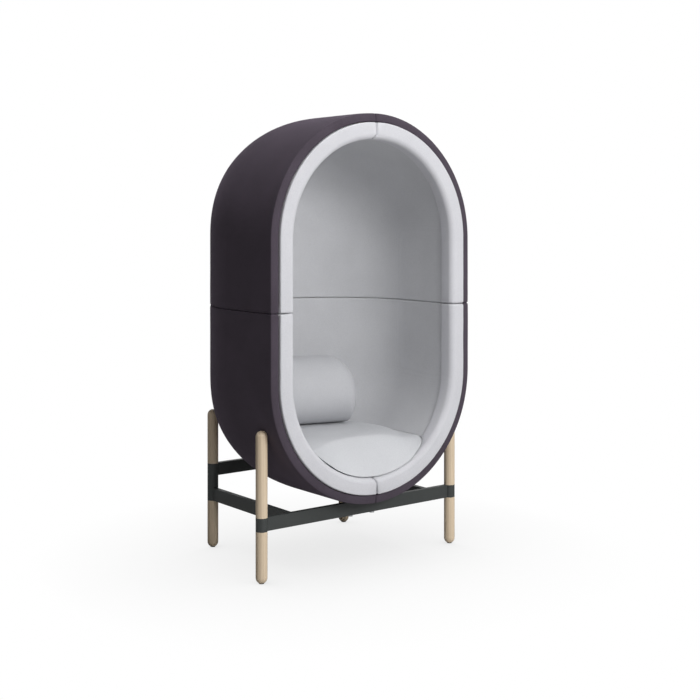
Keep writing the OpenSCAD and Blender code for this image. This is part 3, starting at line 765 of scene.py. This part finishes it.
def add_bolster():
    centre = (bolster_low + bolster_high) / 2
    points = bolster_grid()
    outward = points * np.array((0.0, 1.0, 1.0))
    outward /= np.maximum(np.linalg.norm(outward, axis=2, keepdims=True), TINY)
    points = points - outward * hollows(points, BOLSTER_HOLLOWS, BOLSTER_SEED)[..., None]
    points[..., 2] = np.maximum(points[..., 2], BOLSTER_FLAT - BOLSTER_R)
    cos, sin = math.cos(BOLSTER_TURN), math.sin(BOLSTER_TURN)
    x = points[..., 0] * cos + points[..., 1] * sin
    y = -points[..., 0] * sin + points[..., 1] * cos
    placed = np.stack([centre.x + x, centre.y + y, centre.z + points[..., 2]], axis=2)
    faces = grid_faces(len(placed), BOLSTER_AROUND, ring=True)
    piece = make_object("bolster_pillow", placed.reshape(-1, 3), faces, SHADED_PILLOW)
    fine = piece.modifiers.new("fine", "SUBSURF")
    fine.levels = 1
    fine.render_levels = 1
    apply_modifiers(piece)
    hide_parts("bolster")
    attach(piece, "bolster")


# Finish of the rigid nodes

def dress_nodes():
    finishes = {
        "dark_fabric": DARK, "rim_fabric": PALE, "lining_fabric": GREY, "cushion_fabric": LIGHT, "wood": ASH,
        "steel": STEEL, "plywood": PLY, "foam_core": FOAM, "zinc": ZINC, "nylon": NYLON}
    slots = {part["node"]: part["material_slot"] for part in frame["record"]["subparts"]}
    for name, node in frame["nodes"].items():
        material = finishes[slots[name]]
        if not node.material_slots:
            node.data.materials.append(material)
        for place in node.material_slots:
            place.material = material


# Stage and light

FLOOR_SIZE = 60.0
# Light that the floor throws back at the chair. Its own white is set apart from this
FLOOR_BOUNCE = 0.6
# Reach of the painted soft shadow under the chair, where the floor's glow is made darker by its ambient
# occlusion, and how white its darkest place stays
SHADOW_REACH = 0.9
SHADOW_LEVEL = 0.7
WORLD_LEVEL = 0.01
# Lamps: name, degrees to the right of the opening's front, degrees up, watts
LAMPS = [("key", 0, 18, 148.0), ("side", 50, 18, 29.5), ("high", 0, 48, 23.0), ("left", -40, 48, 29.0),
         ("top", 0, 85, 84.0)]
LAMP_TARGET = Vector((0.0, -0.2, 1.0))
LAMP_DISTANCE = 4.9
LAMP_SIZE = 1.8


def add_stage():
    bpy.ops.mesh.primitive_plane_add(size=FLOOR_SIZE, location=(0, 0, 0))
    floor = bpy.context.object
    floor.name = "floor"
    material = bpy.data.materials.new("floor")
    material.use_nodes = True
    tree = material.node_tree
    tree.nodes.clear()
    output = add_node(tree, "ShaderNodeOutputMaterial")
    matt = add_node(tree, "ShaderNodeBsdfDiffuse", {"Color": (FLOOR_BOUNCE, FLOOR_BOUNCE, FLOOR_BOUNCE, 1.0)})
    path = add_node(tree, "ShaderNodeLightPath")
    # Painted shadow: the white glow that the camera sees is dimmed where ambient occlusion finds the chair
    # near
    open_sky = add_node(tree, "ShaderNodeAmbientOcclusion", {"Distance": SHADOW_REACH})
    level = remap(tree, open_sky.outputs["AO"], 0.0, 1.0, SHADOW_LEVEL, 1.0)
    glow = add_node(tree, "ShaderNodeEmission", {"Color": WHITE, "Strength": level})
    chosen = add_node(tree, "ShaderNodeMixShader", {
        0: path.outputs["Is Camera Ray"], 1: matt.outputs[0], 2: glow.outputs[0]})
    set_inputs(tree, output, {"Surface": chosen.outputs[0]})
    floor.data.materials.append(material)


def add_world():
    world = bpy.data.worlds.new("world")
    world.use_nodes = True
    tree = world.node_tree
    tree.nodes.clear()
    output = add_node(tree, "ShaderNodeOutputWorld")
    path = add_node(tree, "ShaderNodeLightPath")
    light = add_node(tree, "ShaderNodeBackground", {"Color": WHITE, "Strength": WORLD_LEVEL})
    white = add_node(tree, "ShaderNodeBackground", {"Color": WHITE, "Strength": 1.0})
    seen = add_node(tree, "ShaderNodeMath", {
        0: path.outputs["Is Camera Ray"], 1: path.outputs["Is Glossy Ray"]}, operation="MAXIMUM")
    chosen = add_node(tree, "ShaderNodeMixShader", {
        0: seen.outputs[0], 1: light.outputs[0], 2: white.outputs[0]})
    set_inputs(tree, output, {"Surface": chosen.outputs[0]})
    bpy.context.scene.world = world


def add_lamps():
    for name, turn, rise, power in LAMPS:
        turn, rise = math.radians(turn), math.radians(rise)
        away = Vector((math.cos(rise) * math.sin(turn), -math.cos(rise) * math.cos(turn), math.sin(rise)))
        data = bpy.data.lights.new(name, "AREA")
        data.shape = "DISK"
        data.size = LAMP_SIZE
        data.energy = power
        lamp = bpy.data.objects.new(name, data)
        lamp.location = LAMP_TARGET + LAMP_DISTANCE * away
        lamp.rotation_euler = (-away).to_track_quat("-Z", "Y").to_euler()
        bpy.context.scene.collection.objects.link(lamp)
        lamp.visible_camera = False


add_camera()
add_cover_and_lining()
add_rims()
add_seat()
add_bolster()
dress_nodes()
add_stage()
add_world()
add_lamps()
bpy.context.scene.view_settings.view_transform = "Standard"
